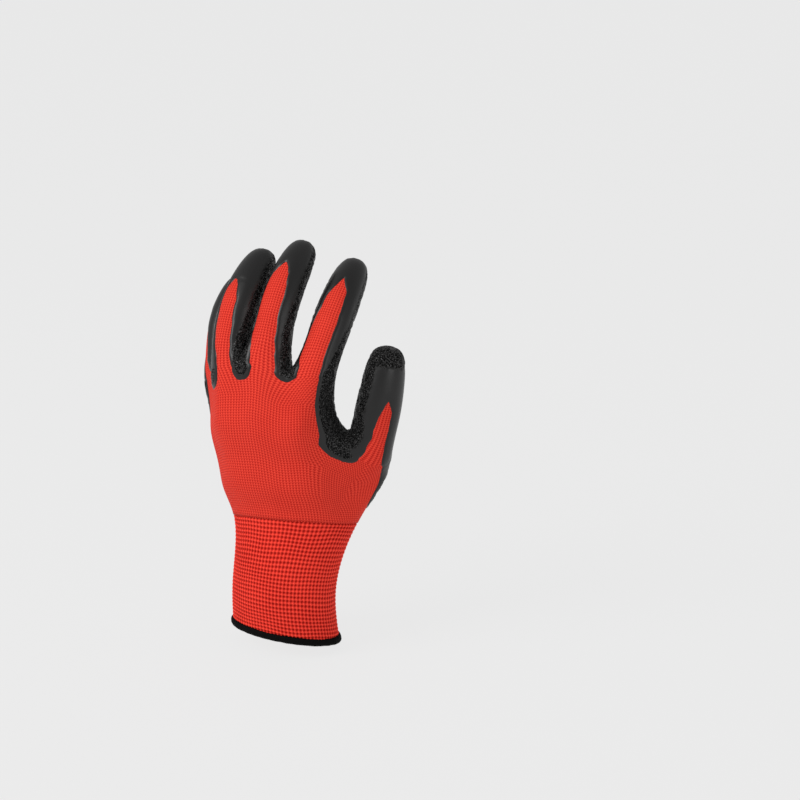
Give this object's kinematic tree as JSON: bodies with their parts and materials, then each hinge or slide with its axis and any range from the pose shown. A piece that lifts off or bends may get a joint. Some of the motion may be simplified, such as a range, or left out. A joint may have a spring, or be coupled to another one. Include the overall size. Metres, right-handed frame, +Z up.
{
  "type": "latex coated grip glove",
  "caption": "Knitted work glove for a left hand with a crinkled latex dip over palm and fingers, a ribbed cuff and an overlocked edge.",
  "frame": {"origin": "middle of the cuff's mouth, where the wrist goes in", "axes": "+Z up the hand to the fingertips, -Y out of the back of the hand, +X to the thumb's side"},
  "size_m": [0.128, 0.0726, 0.2484],
  "materials": {
    "red_knit": "fine seamless polyester knit, matt",
    "black_latex": "satin latex, crinkled on the gripping side and smooth on the fingers' sides",
    "red_rib": "elastic rib knit with a small grid of holes, matt",
    "black_thread": "overlocked thread, matt"
  },
  "bodies": {
    "root": {"knit_shell": "red_knit", "latex_coating": "black_latex", "knit_cuff": "red_rib", "cuff_hem": "black_thread"}
  },
  "joints": []
}
